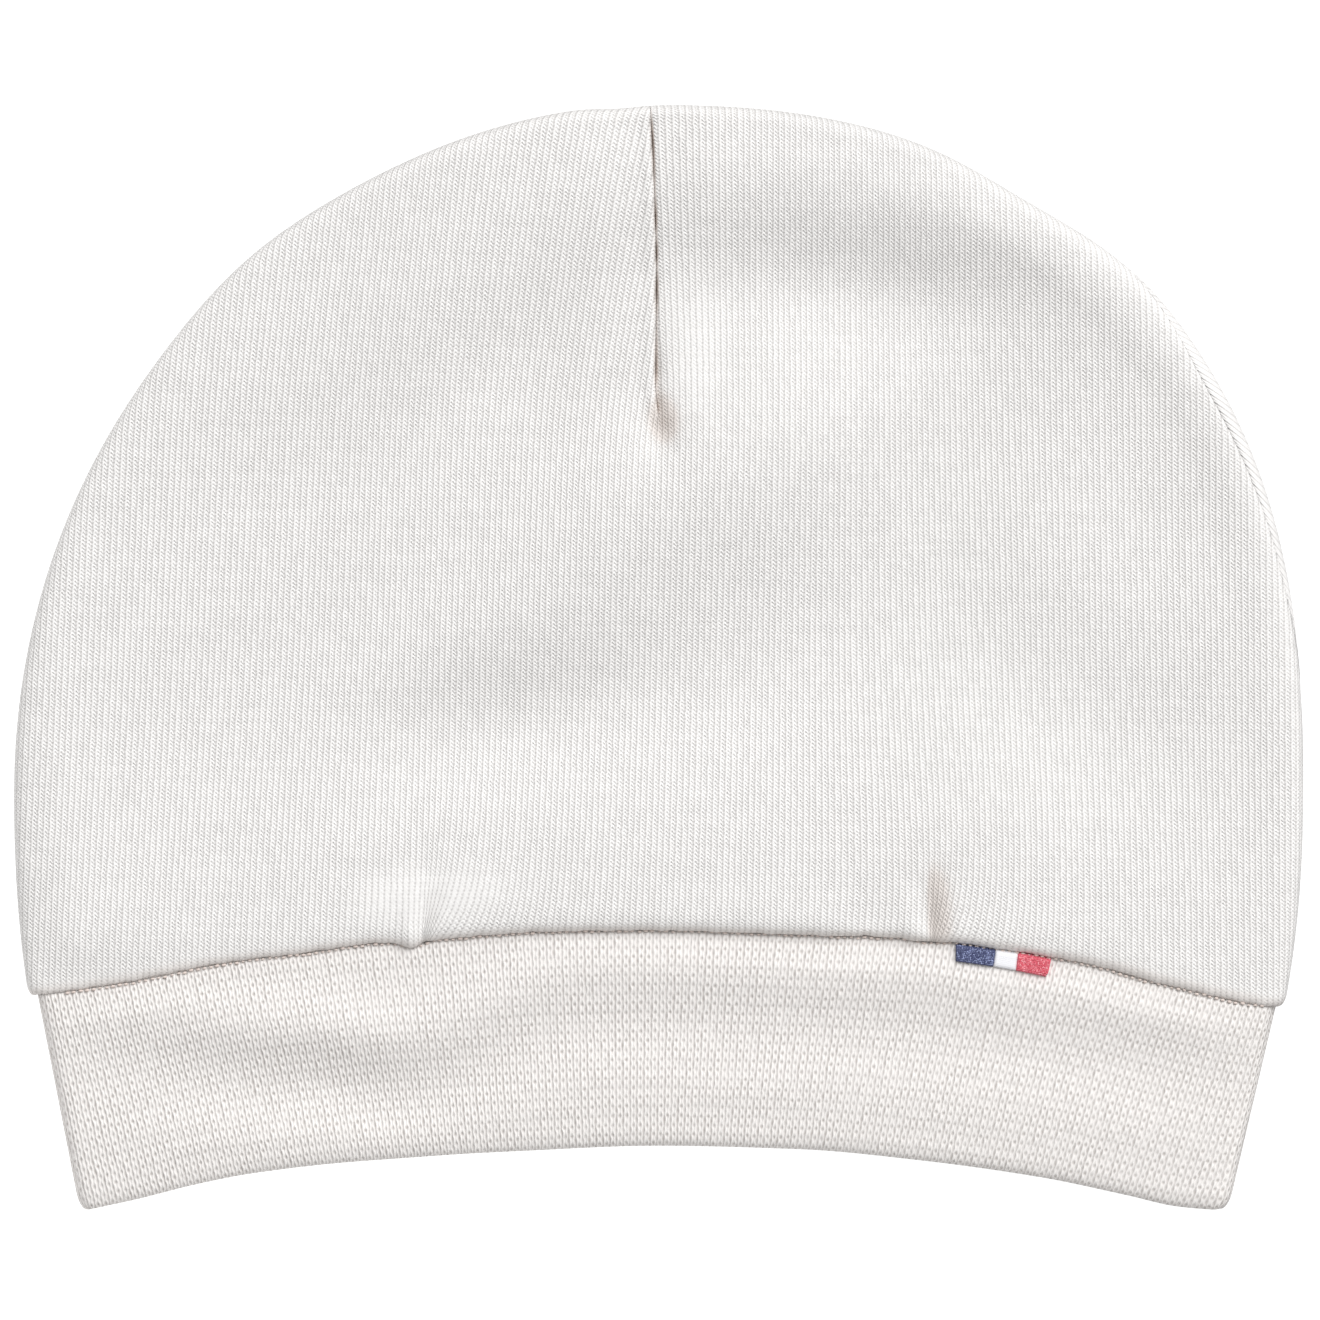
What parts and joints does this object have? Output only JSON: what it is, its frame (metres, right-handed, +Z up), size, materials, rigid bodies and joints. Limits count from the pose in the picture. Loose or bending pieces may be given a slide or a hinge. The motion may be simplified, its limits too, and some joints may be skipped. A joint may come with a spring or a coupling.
{
  "type": "newborn hat",
  "caption": "Soft knitted hat for a newborn, lying flat, with a domed crown of two panels, a doubled knit band and a small woven tab in the band seam.",
  "frame": {"origin": "middle of the hat's bounding box, on the surface it lies on", "axes": "+Z up out of the front of the lying hat, +Y towards the top of the crown, +X towards the side with the tab"},
  "size_m": [0.18, 0.1547, 0.0173],
  "materials": {
    "jersey": "matt off-white cotton jersey",
    "band_knit": "matt off-white doubled knit, coarser than the crown",
    "tab_navy": "looped navy weave",
    "tab_white": "smooth white satin weave",
    "tab_red": "looped coral-red weave"
  },
  "bodies": {
    "root": {"crown_front": "jersey", "crown_back": "jersey", "band": "band_knit", "tab_navy": "tab_navy", "tab_white": "tab_white", "tab_red": "tab_red"}
  },
  "joints": []
}
